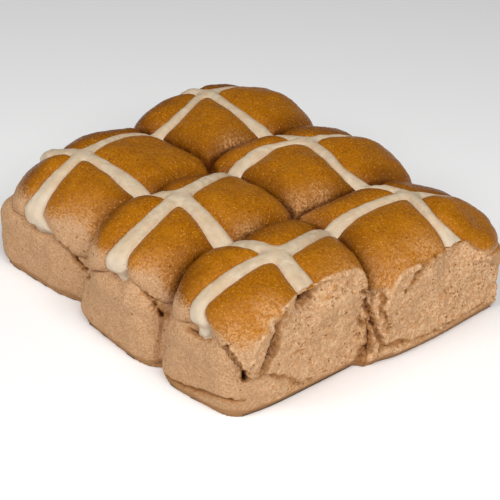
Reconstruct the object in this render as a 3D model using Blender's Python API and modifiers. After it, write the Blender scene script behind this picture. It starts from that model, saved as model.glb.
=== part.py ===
"""A batch of six hot cross buns, baked touching in a tray, with one end torn from a longer batch.

The bread is one solid: two rows of three dough pieces that grew into each other as they proved.
Each dough piece is two soft forms, the domed cap that was under the glaze and the pale body below
it, and the fold where the two meet shows on the sides that stood free.  The flour paste that was
piped over the batch in five lines is a second solid, set into a shallow bed in the crust.

Metres, +Z up.  X runs along the rows towards the torn end, Y across them, and the origin is in the
middle of the flat base.
"""

import math

import bmesh
import bpy
from mathutils import Matrix, Vector, noise
from mathutils.bvhtree import BVHTree

OBJECT = "hot_cross_bun_batch"
MM = 0.001

# Driving dimensions, in millimetres.
# Each dough piece: middle in plan, height of its crown and of its fold, degrees that it sits turned,
# which way its squarer, inner corners face, and how far its cap (reach) and its body (base) would go
# from the middle to -X, +X, -Y and +Y if no neighbour stopped them.
BUNS = {
    "a": dict(middle=(-66, 41), crown=56, fold=32, turn=2, inner=(1, -1),
              reach=(29, 48, 43, 40), base=(28, 48, 43, 39)),
    "b": dict(middle=(-60, -38), crown=54.5, fold=31, turn=3, inner=(1, 1),
              reach=(30, 50, 35.5, 48), base=(27, 52, 35, 60)),
    "c": dict(middle=(2, -34), crown=57, fold=32, turn=-3, inner=(0, 1),
              reach=(25, 39, 43, 43), base=(23, 40, 43, 52)),
    "d": dict(middle=(66, -35), crown=57, fold=33, turn=-2, inner=(-1, 1),
              reach=(33, 33, 42, 36), base=(31, 33, 40.5, 40)),
    "e": dict(middle=(-1, 42), crown=55.5, fold=32, turn=-1, inner=(0, -1),
              reach=(35, 48, 44, 40), base=(35, 48, 44, 40)),
    "f": dict(middle=(66, 41), crown=54, fold=32, turn=-2, inner=(-1, -1),
              reach=(37, 31, 53, 35), base=(37, 30, 53, 35)),
}
CENTRE = (-1.5, -2.2)   # moves the whole batch, so that the origin is in the middle of its base
CAP_SHIFT = (3, 1)      # the caps rose leaning a little towards +X and +Y
CAP_MIDDLE = 3          # height of a cap's widest part above its fold
CAP_DROP = 11           # how far a cap curls down from there before it turns under
CAP_PLAN = (2.6, 5.0)   # squareness of a cap seen from above, at its outer and its inner corners
CAP_SIDE = (2.05, 2.6)  # squareness of a cap seen from the side, likewise
BODY_MIDDLE = 14        # height of the widest part of a body
BODY_RISE = 22          # how far a body reaches above and below that, for a fold at FOLD
BODY_SPREAD = 0.5       # how much wider than its base a body is at its widest
BODY_PLAN = (6.0, 6.0)
BODY_SIDE = (4.5, 4.5)
FOLD = 32
# Along the free side (-Y) the fold isn't level: how far it is raised (over 0) or hangs (under 0),
# and how far the bodies stand back below it, against X.
SAG = [(-90, -1), (-66, -0.5), (-51, -0.5), (-40, -2), (-31, -5.5), (-18, -7.5), (-11, -6.5), (-7, -2),
       (-2, 0.5), (8, 4), (15, 5.3), (21, 5.6), (25, 3.8), (29, 0), (34, -4), (40, -5), (45, -4), (50, -0.5),
       (55, 1.5), (68, 5.5), (76, 5.5), (80, 4), (84, -2), (88, -9), (92, -12)]
SETBACK = [(-60, 0), (-40, 0), (-28, 2), (-14, 3), (-8, 2), (0, 0), (22, 0), (29, 1.5), (40, 2.5), (48, 0.5),
           (70, 0), (79, 1.5), (86, 4.5), (92, 6)]
# At the torn end the +Y corner of piece d is drawn in, away from piece f.
DRAWN_IN = dict(piece="d", middle=(96, 2, 34), spread=(16, 11, 26), step=(0, -7, 0))
CORE = dict(middle=(0, 2, 10), reach=(88, 88, 64, 68, 20, 27))  # crumb where all six grew together
CORE_SIDE = (3.0, 3.0)
CAGE_CUTS = 3           # cuts across each side of a soft form's cage
CAP_CAGE_CUTS = 4
CAGE_GROWTH = 1.012     # Subdivision Surface draws a cage in by about this much

# The torn end: where each end piece breaks off at its base, how far the break leans out by the
# height of the lip, and how ragged it is.
BREAKS = {"d": dict(x=89, lean=2.5, seed=3), "f": dict(x=95.5, lean=1.0, seed=8)}
BREAK_ROUGHNESS = 2.6
BREAK_GRAIN = 11        # size of the lumps in the break
BREAK_SPAN = dict(y=(-84, 84), z=(-5, 70))
BREAK_CUTS = 12
LIP_HEIGHT = 50
BODY_PAST_BREAK = 2.5   # how far the body and the crumb of an end piece would have run on
CRUMB_PAST_BREAK = 12
CRUMB_SPAN = (8, 47)    # heights between which the crumb fills the break, so that no fold runs over it
CRUMB_INSET = 12        # how far short of the cap's sides the crumb stays
CRUMB_DEPTH = 20

# The piped paste: the middle of each line and half its width there.  A third number between them
# is a height, given where the line has turned over the edge of a cap and hangs down its side.
LINES = {
    "across_low_end": [(-50, -72.5, 34, 5.4), (-53, -69.4, 40.5, 5), (-55, -61, 47, 4.3), (-57.5, -48, 3.7),
                       (-61, -39, 3.6), (-64, -24, 3.2), (-65, -9, 3.4), (-64, 2, 3.8), (-62, 13, 3.3),
                       (-64, 26, 3), (-69, 40, 3.2), (-70, 53, 3), (-71, 64, 3.2), (-71, 74, 42, 4)],
    "across_middle": [(11.5, -74.5, 41, 5.2), (10.5, -72, 45.5, 5), (9.8, -62.5, 51, 4.5), (6.5, -46.5, 4),
                      (2, -32, 4), (-2, -15.5, 3.8), (-9, 2, 3.9), (-10, 9, 4.2), (-8.5, 17, 3.6),
                      (-9.5, 26, 3.2), (-6, 35, 3.1), (-1, 43, 3.2), (-1, 55, 3), (0, 66, 3.3),
                      (0, 75.5, 42, 4)],
    "across_torn_end": [(66.5, -75.5, 41.5, 4.8), (63.8, -73, 46, 4.6), (63.8, -63.7, 51, 4.2), (65, -47, 4),
                        (67, -34, 4.2), (66, -18, 3.8), (62, -4, 3.9), (61.5, 6, 4.3), (61.5, 18, 3.5),
                        (63, 31, 3.2), (66, 44, 3.2), (69, 57, 3), (70, 66, 3.2), (70, 74, 42, 4)],
    "along_low_row": [(-92, -43, 39, 4.4), (-84, -44, 46, 4), (-73, -43, 3.8), (-61, -39, 3.6),
                      (-42, -37.5, 3.8), (-25, -37, 4.6), (-7, -36, 3.8), (2, -33, 4), (19, -35, 4),
                      (35, -36, 4.8), (52, -35.5, 4.2), (67, -34, 4.2), (80, -38, 4.6), (90.5, -41, 5)],
    "along_high_row": [(-94.5, 32, 40, 4), (-87, 33, 49, 3.5), (-79, 38.5, 3.2), (-69, 40, 3.2),
                       (-52, 38, 3), (-35, 38, 3.2), (-26, 41, 3.9), (-10, 39.5, 3.2), (-1, 43, 3.2),
                       (13, 42.5, 3.2), (29, 39.5, 3.2), (38.5, 40, 4), (54, 39.5, 3.2),
                       (66, 44, 3.2), (82, 38, 3), (95, 37.5, 4.4)],
}
STATION = 8             # spacing of the sections along a line
PASTE_THICKNESS = 2.6
BED_DEPTH = 2.5         # how deep the dough rose around the paste
BED_CUT = 5.0           # height of what is cut away for the bed, more than its depth
BED_CLEARANCE = 0.7
CROSSING_STEP = 0.25    # the lines along the rows are this much thinner, above and below
EASING = 2              # how many times a line is smoothed where it bridges a crease


def clear_scene():
    for item in list(bpy.data.objects):
        bpy.data.objects.remove(item)


def new_collection(name):
    collection = bpy.data.collections.new(name)
    bpy.context.scene.collection.children.link(collection)
    return collection


def new_material(name, colour, roughness):
    material = bpy.data.materials.new(name)
    material.use_nodes = True
    shader = material.node_tree.nodes["Principled BSDF"]
    shader.inputs["Base Color"].default_value = (*colour, 1)
    shader.inputs["Roughness"].default_value = roughness
    shader.inputs["Metallic"].default_value = 0
    return material


def tool_object(name, solid, collection):
    """A form that others are cut or joined with, which isn't itself a part."""
    mesh = bpy.data.meshes.new(name)
    solid.to_mesh(mesh)
    solid.free()
    item = bpy.data.objects.new(name, mesh)
    item.hide_render = True
    item.display_type = "WIRE"
    collection.objects.link(item)
    return item


def boolean(item, operation, tool):
    cut = item.modifiers.new(tool.name, "BOOLEAN")
    cut.operation = operation
    cut.object = tool
    cut.solver = "EXACT"


def weld(item):
    """Closes up the slivers that a Boolean leaves where two soft forms just meet."""
    closing = item.modifiers.new("weld", "WELD")
    closing.merge_threshold = 0.0001


def block(name, low, high):
    solid = bmesh.new()
    bmesh.ops.create_cube(solid, size=1)
    for corner in solid.verts:
        corner.co = [(low[axis] if corner.co[axis] < 0 else high[axis]) * MM for axis in range(3)]
    return tool_object(name, solid, TOOLS)


def eased_step(value, start, end):
    """0 before start and 1 after end, with a smooth way between them; end may be the lower one."""
    t = min(max((value - start) / (end - start), 0), 1)
    return t * t * (3 - 2 * t)


def by_x(x, table):
    """A value from a table of (x, value), along straight lines between its rows."""
    if x <= table[0][0]:
        return table[0][1]
    for (x0, low), (x1, high) in zip(table, table[1:]):
        if x <= x1:
            return low + (high - low) * (x - x0) / (x1 - x0)
    return table[-1][1]


def sagged(place):
    x, y, z = place
    step = by_x(x, SAG) * eased_step(y, -48, -66) * eased_step(z, 0, 26) * eased_step(z, 58, 34)
    return Vector((x, y, z + step))


def stood_back(place):
    x, y, z = place
    return Vector((x, y + by_x(x, SETBACK) * eased_step(y, -52, -68) * eased_step(z, 8, 24), z))


def drawn_in(place):
    offset = place - Vector(DRAWN_IN["middle"])
    away = sum((offset[axis] / DRAWN_IN["spread"][axis]) ** 2 for axis in range(3))
    return place + Vector(DRAWN_IN["step"]) * math.exp(-away)


def soft_form(name, middle, turn, reach, plan, side, bends, inner=None, cuts=CAGE_CUTS, collection=None):
    """A soft rounded block: a cube cage drawn onto a superellipsoid and bent, then Subdivision Surface.

    reach is how far the form goes from its middle to -X, +X, -Y, +Y, -Z and +Z, before its turn.
    plan and side are how square it is, at the outer corners and at those that inner points to.
    """
    cage = bmesh.new()
    bmesh.ops.create_cube(cage, size=2)
    bmesh.ops.subdivide_edges(cage, edges=cage.edges[:], cuts=cuts, use_grid_fill=True)
    turned = Matrix.Rotation(math.radians(turn), 3, "Z")
    for corner in cage.verts:
        x, y, z = corner.co
        share = 0
        if inner and math.hypot(x, y) > 0.001:
            toward = (x * inner[0] + y * inner[1]) / math.hypot(x, y) / math.hypot(*inner)
            share = eased_step(toward, -0.2, 0.8)
        plan_power, side_power = (low + (high - low) * share for low, high in (plan, side))
        flat = (abs(x) ** plan_power + abs(y) ** plan_power) ** (1 / plan_power)
        size = (flat ** side_power + abs(z) ** side_power) ** (1 / side_power)
        sides = [reach[2 * axis + (corner.co[axis] > 0)] for axis in range(3)]
        place = Vector([corner.co[axis] / size * sides[axis] * CAGE_GROWTH for axis in range(3)])
        place = turned @ place + Vector(middle)
        for bend in bends:
            place = bend(place)
        corner.co = place * MM
    form = tool_object(name, cage, collection or TOOLS)
    rounding = form.modifiers.new("soft", "SUBSURF")
    rounding.levels = 1
    rounding.render_levels = 1
    return form


def cap(name, bun):
    middle = (bun["middle"][0] + CAP_SHIFT[0], bun["middle"][1] + CAP_SHIFT[1], bun["fold"] + CAP_MIDDLE)
    reach = (*bun["reach"], CAP_DROP, bun["crown"] - middle[2])
    bends = [drawn_in, sagged] if name == DRAWN_IN["piece"] else [sagged]
    return soft_form("cap_" + name, middle, bun["turn"], reach, CAP_PLAN, CAP_SIDE, bends,
                     inner=bun["inner"], cuts=CAP_CAGE_CUTS)


def body(name, bun):
    sides = [side + BODY_SPREAD for side in bun["base"]]
    if name in BREAKS:
        sides[1] = BREAKS[name]["x"] + BODY_PAST_BREAK - bun["middle"][0]
    reach = (*sides, BODY_RISE, BODY_RISE + bun["fold"] - FOLD)
    bends = [stood_back, drawn_in, sagged] if name == DRAWN_IN["piece"] else [stood_back, sagged]
    return soft_form("body_" + name, (*bun["middle"], BODY_MIDDLE), bun["turn"], reach, BODY_PLAN, BODY_SIDE,
                     bends, collection=DOUGH)


def crumb(name, bun):
    """The inside of an end piece, which fills its fold out to the break."""
    low, high = CRUMB_SPAN
    half = (high - low) / 2
    sides = [side - CRUMB_INSET for side in bun["reach"][2:]]
    out = BREAKS[name]["x"] + CRUMB_PAST_BREAK - bun["middle"][0]
    reach = (CRUMB_DEPTH, out, *sides, half, half)
    return soft_form("crumb_" + name, (*bun["middle"], low + half), bun["turn"], reach, BODY_PLAN, BODY_SIDE,
                     [stood_back, sagged])


def torn_off(name):
    """What was torn away at one end piece: a block whose near face is the ragged break."""
    place = BREAKS[name]
    thickness = 60
    solid = bmesh.new()
    bmesh.ops.create_cube(solid, size=1)
    bmesh.ops.subdivide_edges(solid, edges=solid.edges[:], cuts=BREAK_CUTS, use_grid_fill=True)
    for corner in solid.verts:
        y, z = (low + (at + 0.5) * (high - low) for at, (low, high) in
                zip(corner.co.yz, (BREAK_SPAN["y"], BREAK_SPAN["z"])))
        x = place["x"] + thickness * (corner.co.x + 0.5)
        if corner.co.x < -0.49:
            ragged = noise.noise(Vector((place["seed"], y / BREAK_GRAIN, z / BREAK_GRAIN)))
            x += place["lean"] * min(z / LIP_HEIGHT, 1) + BREAK_ROUGHNESS * ragged
        corner.co = Vector((x, y, z)) * MM
    return tool_object("torn_off_" + name, solid, TOOLS)


def dough_piece(name, bun):
    """One bun: its body with its cap, broken off if it is at the torn end."""
    piece = body(name, bun)
    boolean(piece, "UNION", cap(name, bun))
    if name in BREAKS:
        boolean(piece, "UNION", crumb(name, bun))
        boolean(piece, "DIFFERENCE", torn_off(name))


def risen_bread():
    """All six buns grown together, on a flat base, before the paste's bed is cut in them."""
    bread = soft_form("risen_bread", CORE["middle"], 0, CORE["reach"], BODY_PLAN, CORE_SIDE, [])
    joined = bread.modifiers.new("six_buns", "BOOLEAN")
    joined.operation = "UNION"
    joined.operand_type = "COLLECTION"
    joined.collection = DOUGH
    joined.solver = "EXACT"
    boolean(bread, "DIFFERENCE", block("below_the_base", (-150, -150, -40), (150, 150, 0)))
    weld(bread)
    return bread


def surface_of(item):
    """The modified surface of an object, in world coordinates, to measure on."""
    solid = bmesh.new()
    solid.from_object(item, bpy.context.evaluated_depsgraph_get())
    solid.transform(item.matrix_world)
    surface = BVHTree.FromBMesh(solid)
    solid.free()
    return surface


def on_top(surface, x, y):
    return surface.ray_cast(Vector((x, y, 1)), Vector((0, 0, -1)))[0]


def rounded_end(before, place, half):
    """One more, narrower station past the end of a line."""
    return place + (place - before).normalized() * half * 0.6, half * 0.5


def smooth_route(surface, line, round_far_end):
    """Even stations (place, half width) along a Catmull-Rom curve through a line's points."""
    knots = []
    for point in line:
        x, y = point[0] * MM, point[1] * MM
        place = Vector((x, y, point[2] * MM)) if len(point) == 4 else on_top(surface, x, y)
        knots.append((place, point[-1] * MM))
    stations = []
    for index in range(len(knots) - 1):
        group = [knots[min(max(index + step, 0), len(knots) - 1)] for step in (-1, 0, 1, 2)]
        steps = max(1, round((group[2][0] - group[1][0]).length / (STATION * MM)))
        for step in range(steps + (index == len(knots) - 2)):
            t = step / steps
            weights = (-t + 2 * t ** 2 - t ** 3, 2 - 5 * t ** 2 + 3 * t ** 3,
                       t + 4 * t ** 2 - 3 * t ** 3, t ** 3 - t ** 2)
            place = sum((knot[0] * weight for knot, weight in zip(group, weights)), Vector()) / 2
            half = sum(knot[1] * weight for knot, weight in zip(group, weights)) / 2
            stations.append((place, half))
    if round_far_end:
        stations.append(rounded_end(stations[-2][0], *stations[-1]))
    return [rounded_end(stations[1][0], *stations[0]), *stations]


def eased(places):
    """The same places with each drawn towards its neighbours, as soft paste bridges a crease."""
    middle = [(before + 2 * here + after) / 4 for before, here, after in zip(places, places[1:], places[2:])]
    return [places[0], *middle, places[-1]]


def edge_of_line(surface, stations, ahead, across, depth, extra):
    """Places along one edge (across -1 or 1) or the middle (0) of a line, depth below the crust."""
    feet, ups = [], []
    for (place, half), onward in zip(stations, ahead):
        side = onward.cross(surface.find_nearest(place)[1]).normalized()
        foot, normal = surface.find_nearest(place + side * across * half)[:2]
        feet.append(foot)
        ups.append(normal)
    for _ in range(EASING):
        feet = eased(feet)
        ups = eased(ups)
    edge = [foot + onward.cross(up).normalized() * across * extra - up.normalized() * depth
            for foot, up, onward in zip(feet, ups, ahead)]
    edge[0] -= ahead[0].normalized() * extra
    edge[-1] += ahead[-1].normalized() * extra
    return edge


def line_solid(name, surface, line, depth, thickness, extra):
    """A band that follows the crust: an open strip laid depth below it, made solid upward."""
    stations = smooth_route(surface, line, round_far_end="across" in name)
    ahead = [after[0] - before[0] for before, after in
             zip([stations[0], *stations], [*stations[1:], stations[-1]])]
    edges = [edge_of_line(surface, stations, ahead, across, depth, extra) for across in (-1, 0, 1)]
    strip = bmesh.new()
    rows = [[strip.verts.new(place) for place in row] for row in zip(*edges)]
    for near, far in zip(rows, rows[1:]):
        for left in (0, 1):
            strip.faces.new((near[left], near[left + 1], far[left + 1], far[left]))
    bmesh.ops.recalc_face_normals(strip, faces=strip.faces)
    if sum(face.normal.z for face in strip.faces) < 0:
        bmesh.ops.reverse_faces(strip, faces=strip.faces)
    band = tool_object(name, strip, TOOLS)
    solid = band.modifiers.new("solid", "SOLIDIFY")
    solid.thickness = thickness
    solid.offset = 1
    solid.use_even_offset = False
    return band


def piped_lines(kind, surface, depth, thickness, extra):
    """The five lines as one solid: the lines along the rows pass through those across them."""
    bands = []
    for name, line in LINES.items():
        step = CROSSING_STEP if name.startswith("along") else 0
        bands.append(line_solid(kind + "_" + name, surface, line, (depth - step) * MM,
                                (thickness - 2 * step) * MM, extra * MM))
    for band in bands[1:]:
        boolean(bands[0], "UNION", band)
    return bands[0]


def visible_part(name, item, material):
    """A part with the modified shape of one of the tools."""
    mesh = bpy.data.meshes.new_from_object(item.evaluated_get(bpy.context.evaluated_depsgraph_get()))
    mesh.name = name
    mesh.transform(Matrix.Translation(Vector((*CENTRE, 0)) * MM))
    mesh.materials.clear()
    mesh.materials.append(material)
    part = bpy.data.objects.new(name, mesh)
    part.matrix_world = item.matrix_world
    PARTS.objects.link(part)
    return part


clear_scene()
PARTS = new_collection(OBJECT)
TOOLS = new_collection("cutters")
DOUGH = new_collection("dough_pieces")

for name, bun in BUNS.items():
    dough_piece(name, bun)
risen = risen_bread()
risen_surface = surface_of(risen)

boolean(risen, "DIFFERENCE", piped_lines("bed", risen_surface, BED_DEPTH, BED_CUT, BED_CLEARANCE))
weld(risen)
visible_part("bread", risen, new_material("baked_crust", (0.33, 0.12, 0.01), 0.45))

paste_lines = piped_lines("paste", risen_surface, BED_DEPTH - BED_CLEARANCE, PASTE_THICKNESS, 0)
visible_part("piped_crosses", paste_lines, new_material("flour_paste", (0.66, 0.52, 0.36), 0.7))
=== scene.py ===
# %% [markdown]
# # A batch of hot cross buns
# Six buns that proved and baked touching in a tray, so that they grew into one slab of bread. One
# end was torn from a longer batch and shows the crumb. Flour paste was piped over the whole batch
# in five lines, which makes a cross on every bun.
#
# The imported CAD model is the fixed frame: it gives the size and the place of everything. This
# lesson makes the looks around it. Lengths in the tables below are in millimetres, because that is
# how a baker would measure, and the meshes are in metres.

# %% Load the frame
import itertools
import math

import bpy
import numpy as np
from mathutils import Matrix, Vector
from mathutils.bvhtree import BVHTree


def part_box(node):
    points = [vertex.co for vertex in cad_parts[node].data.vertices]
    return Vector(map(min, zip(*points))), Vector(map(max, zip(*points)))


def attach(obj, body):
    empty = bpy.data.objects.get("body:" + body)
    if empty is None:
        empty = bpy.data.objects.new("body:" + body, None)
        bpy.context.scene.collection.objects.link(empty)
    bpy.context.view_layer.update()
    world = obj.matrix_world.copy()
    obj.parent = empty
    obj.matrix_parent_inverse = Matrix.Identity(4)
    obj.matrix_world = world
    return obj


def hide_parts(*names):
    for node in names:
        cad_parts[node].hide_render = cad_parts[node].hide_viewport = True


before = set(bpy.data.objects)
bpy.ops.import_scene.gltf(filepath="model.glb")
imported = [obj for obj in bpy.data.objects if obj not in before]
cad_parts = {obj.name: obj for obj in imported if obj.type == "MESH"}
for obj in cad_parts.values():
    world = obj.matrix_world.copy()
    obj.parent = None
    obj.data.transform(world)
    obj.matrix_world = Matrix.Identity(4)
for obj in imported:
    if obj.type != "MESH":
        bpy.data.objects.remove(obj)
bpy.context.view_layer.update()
bpy.ops.object.select_all(action="DESELECT")

MM = 0.001
bread_low, bread_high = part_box("bread")
print("frame:", sorted(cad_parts), "bread is", [round(v / MM, 1) for v in bread_high - bread_low], "mm")

# %% [markdown]
# ## Helpers that read and write a mesh
# A mesh that a remesh has made has a few hundred thousand corners. Moving them one by one in
# Python would take minutes, so these helpers hand them over as one array, and every later step
# shapes the dough by adding to that array.


# %% Arrays of corners, normals and edges
def places(item):
    found = np.empty(len(item.data.vertices) * 3)
    item.data.vertices.foreach_get("co", found)
    return found.reshape(-1, 3)


def put_places(item, found):
    item.data.vertices.foreach_set("co", found.ravel())
    item.data.update()


def normals(item):
    found = np.empty(len(item.data.vertices) * 3, np.float32)
    item.data.vertex_normals.foreach_get("vector", found)
    return found.reshape(-1, 3).astype(float)


def edge_ends(item):
    found = np.empty(len(item.data.edges) * 2, np.int32)
    item.data.edges.foreach_get("vertices", found)
    return found.reshape(-1, 2)


def relaxed(values, ends, times):
    """Each value drawn halfway to the mean of its neighbours along the edges, so many times over."""
    values = values.copy()
    flat = values.reshape(len(values), -1)
    a, b = ends[:, 0], ends[:, 1]
    count = np.bincount(a, minlength=len(flat)) + np.bincount(b, minlength=len(flat))
    count = np.maximum(count, 1)
    for _ in range(times):
        for column in flat.T:
            total = np.bincount(a, column[b], len(flat)) + np.bincount(b, column[a], len(flat))
            column += 0.5 * (total / count - column)
    return values


# %% Ramps and grain
def ramp(value, start, end):
    """0 before start and 1 after end, with a smooth way between them; end may be the lower one."""
    t = np.clip((value - start) / (end - start), 0, 1)
    return t * t * (3 - 2 * t)


def near_to(where, middle, spread):
    """1 at the middle, falling off with the distance to nothing about twice the spread away."""
    return np.exp(-(((where - middle) / np.array(spread)) ** 2).sum(1))


def grain(where, size, seed):
    """A smooth random value from -1 to 1 for each place, in lumps about size across."""
    cell = where / size + seed * 13.37
    base = np.floor(cell).astype(np.int64)
    t = cell - base
    t = t * t * t * (t * (t * 6 - 15) + 10)
    total = np.zeros(len(where))
    for corner in itertools.product((0, 1), repeat=3):
        x, y, z = (base + corner).T
        key = (x * 73856093) ^ (y * 19349663) ^ (z * 83492791) ^ (seed * 2654435761)
        key = (key ^ (key >> 13)) * 1274126177 & 0x7FFFFFFF
        key = (key ^ (key >> 16)) & 0xFFFF
        share = np.prod(np.where(corner, t, 1 - t), axis=1)
        total += share * (key / 32767.5 - 1)
    return total


def lumps(where, size, seed):
    """Grain with two layers of finer and fainter grain on top."""
    return sum(grain(where, size / 2 ** n, seed + n) / 2 ** n for n in range(3)) / 1.5


def layers(where, *grains):
    """Layers of grain added up, each given as how much, the size of its lumps and its seed."""
    return sum(much * grain(where, size, seed) for much, size, seed in grains)


# %% [markdown]
# ## The dough
# Each bun is two soft forms: the domed cap that was under the glaze, and the pale, squarer body
# that spread below it until it met its neighbours. A soft form starts as a cube, is subdivided in
# edit mode and then drawn onto a superellipsoid, because that gives one number for how square the
# bun is from above and one for how square it is from the side.
#
# Sculpting each bun by hand would also work, but the forms have to stay on the CAD ones, so they
# take the same measures.

# %% Measures of the six buns
# Each bun has its middle on the tray, the heights of its crown and of its fold, its turn in degrees,
# the way to its neighbours, and how far its cap and its body reach to -X, +X, -Y and +Y.
BUNS = {
    "a": dict(middle=(-66, 41), crown=55.2, fold=32, turn=2, inner=(1, -1),
              reach=(29, 48, 43, 40), base=(28, 48, 43, 39)),
    "b": dict(middle=(-60, -38), crown=54.5, fold=31, turn=3, inner=(1, 1),
              reach=(30, 50, 35.5, 48), base=(27, 52, 34, 60)),
    "c": dict(middle=(2, -34), crown=57, fold=32, turn=-3, inner=(0, 1),
              reach=(25, 39, 43, 43), base=(23, 40, 42, 52)),
    "d": dict(middle=(66, -35), crown=57, fold=33, turn=-2, inner=(-1, 1),
              reach=(33, 33, 42, 36), base=(31, 33, 41, 40)),
    "e": dict(middle=(-1, 42), crown=55.5, fold=32, turn=-1, inner=(0, -1),
              reach=(35, 48, 44, 40), base=(35, 48, 44, 40)),
    "f": dict(middle=(66, 41), crown=54, fold=32, turn=-2, inner=(-1, -1),
              reach=(37, 28.8, 53, 36), base=(37, 30, 53, 34)),
}
# how square a cap is from above and from the side, at its outer and its inner corners
CAP_PLAN, CAP_SIDE = (2.6, 5.0), (2.05, 2.6)
CAP_STEP = (3, 1, 3)         # from a bun's middle at its fold to the middle of its cap
CAP_DEPTH = 11               # how far a cap reaches down from there, inside the body
BODY_MIDDLE = 14             # height of the middle of a body
BODY_DEPTH = 22              # how far a body reaches down, past the base, where it is pressed flat
BODY_EXTRA = 0.5             # the bodies reach this much farther out than their measures
TORN = {"d": 89, "f": 95.5}  # where the two end buns break off, along X at the base
PAST_BREAK = 2.5             # their bodies reach this much farther, and the break trims them
SQUARE = dict(inner=None, plan_power=(6, 6), side_power=(4.5, 4.5))
ROUNDER = dict(inner=None, plan_power=(4, 4), side_power=(3, 3))
# the insides of the two end buns, which fill their folds out to the break, with reaches down and up too
INSIDE = {
    "d": dict(middle=(66, -35, 27.5), turn=-2, reach=(20, 35, 30, 24, 19.5, 19.5), **SQUARE),
    "f": dict(middle=(66, 32, 22), turn=-2, reach=(20, 41.5, 33, 27, 14, 23.5), **ROUNDER),
}
# the bread in the middle of the batch, under the creases
CORE = dict(middle=(0, 2, 10), turn=0, reach=(88, 88, 64, 68, 20, 27), inner=None,
            plan_power=(6, 6), side_power=(3, 3))


# %% Soft forms
FORM_CUTS = 35


def form_gauge(unit, inner, plan_power, side_power):
    """1 on the form, less inside it, for places measured in reaches from its middle."""
    share = 0
    if inner:
        flat = unit[:, :2] / np.maximum(np.linalg.norm(unit[:, :2], axis=1), 1e-6)[:, None]
        share = ramp(flat @ (np.array(inner) / math.hypot(*inner)), -0.2, 0.8)
    plan_power, side_power = (low + (high - low) * share for low, high in (plan_power, side_power))
    unit = np.maximum(np.abs(unit), 1e-9)
    plan = (unit[:, 0] ** plan_power + unit[:, 1] ** plan_power) ** (1 / plan_power)
    return (plan ** side_power + unit[:, 2] ** side_power) ** (1 / side_power)


def soft_form(middle, turn, reach, **shape):
    bpy.ops.mesh.primitive_cube_add(size=2)
    form = bpy.context.object
    bpy.ops.object.mode_set(mode="EDIT")
    bpy.ops.mesh.select_all(action="SELECT")
    bpy.ops.mesh.subdivide(number_cuts=FORM_CUTS)
    bpy.ops.object.mode_set(mode="OBJECT")
    co = places(form)
    co = co / form_gauge(co, **shape)[:, None] * np.where(co < 0, reach[0::2], reach[1::2])
    c, s = math.cos(math.radians(turn)), math.sin(math.radians(turn))
    co = co @ np.array([(c, s, 0), (-s, c, 0), (0, 0, 1)]) + middle
    put_places(form, co * MM)
    return form


def form_size(where, middle, turn, reach, **shape):
    """How far outside (over 0) or inside (under 0) a form each place is, about, in millimetres."""
    c, s = math.cos(math.radians(turn)), math.sin(math.radians(turn))
    local = (where - middle) @ np.array([(c, -s, 0), (s, c, 0), (0, 0, 1)])
    size = form_gauge(local / np.where(local < 0, reach[0::2], reach[1::2]), **shape)
    return (1 - 1 / np.maximum(size, 0.05)) * np.linalg.norm(local, axis=1)


def cap_form(bun):
    middle = [at + step for at, step in zip((*bun["middle"], bun["fold"]), CAP_STEP)]
    return dict(middle=middle, turn=bun["turn"], reach=(*bun["reach"], CAP_DEPTH, bun["crown"] - middle[2]),
                inner=bun["inner"], plan_power=CAP_PLAN, side_power=CAP_SIDE)


def body_form(bun, torn_at):
    sides = [side + BODY_EXTRA for side in bun["base"]]
    if torn_at:
        sides[1] = torn_at + PAST_BREAK - bun["middle"][0]
    # the top of a body lies inside its cap, a little over the fold
    return dict(middle=(*bun["middle"], BODY_MIDDLE), turn=bun["turn"],
                reach=(*sides, BODY_DEPTH, bun["fold"] + 4 - BODY_MIDDLE), **SQUARE)


CAPS = {name: cap_form(bun) for name, bun in BUNS.items()}
BODIES = {name: body_form(bun, TORN.get(name)) for name, bun in BUNS.items()}
forms = [soft_form(**form) for form in [CORE, *CAPS.values(), *BODIES.values(), *INSIDE.values()]]
print("soft forms:", len(forms))

# %% [markdown]
# The fold between cap and body isn't level. Where two buns met, and at the torn corner, the skin
# was pulled along and hangs lower; under the paste it stands higher. A bend of the space round the
# open side moves caps and bodies together, and the same bend, undone, tells any later place which
# form it belongs to. Proportional editing would do the first but not the second.

# %% Let the fold sag
# how far the fold of the open side moves up or down, at places along X
SAG = [
    (-90, -1), (-66, -0.5), (-51, -0.5), (-40, -2), (-31, -5.5), (-18, -7.5), (-11, -6.5), (-7, -2),
    (-2, 0.5), (8, 4), (15, 5.3), (21, 5.6), (25, 3.8), (29, 0), (34, -4), (40, -5), (45, -4), (50, -0.5),
    (55, 1.5), (68, 5.5), (76, 5.5), (80, 4), (84, -2), (88, -9), (92, -12)
]
# how far the bodies stand back under the caps on that side
SETBACK = [
    (-60, 0), (-40, 0), (-28, 2), (-14, 3), (-8, 2), (0, 0), (22, 0), (29, 1.5), (40, 2.5), (48, 0.5),
    (70, 0), (79, 1.5), (86, 4.5), (92, 6)
]


def looked_up(at, table):
    """The value of a table of pairs at each place, along straight lines between its rows."""
    return np.interp(at, *zip(*table))


def sagging(where):
    """How far each place moves up (over 0) or down (under 0): most at the fold of the open side."""
    x, y, z = where.T
    return looked_up(x, SAG) * ramp(y, -48, -66) * ramp(z, 0, 26) * ramp(z, 58, 34)


def sagged(where):
    return where + sagging(where)[:, None] * (0, 0, 1)


def unsagged(where):
    """Where each place was before the sag. The sag is gentle, so six guesses are enough."""
    before = where
    for _ in range(6):
        before = where - sagging(before)[:, None] * (0, 0, 1)
    return before


def setback(where):
    """How far each place of a body moves in, toward +Y: most just under the fold."""
    x, y, z = where.T
    return looked_up(x, SETBACK) * ramp(y, -52, -68) * ramp(z, 8, 24)


# at the torn end the +Y corner of bun d is drawn in, away from bun f
CORNER = dict(middle=(96, 2, 34), spread=(16, 11, 26), step=(0, -7, 0))


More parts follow.
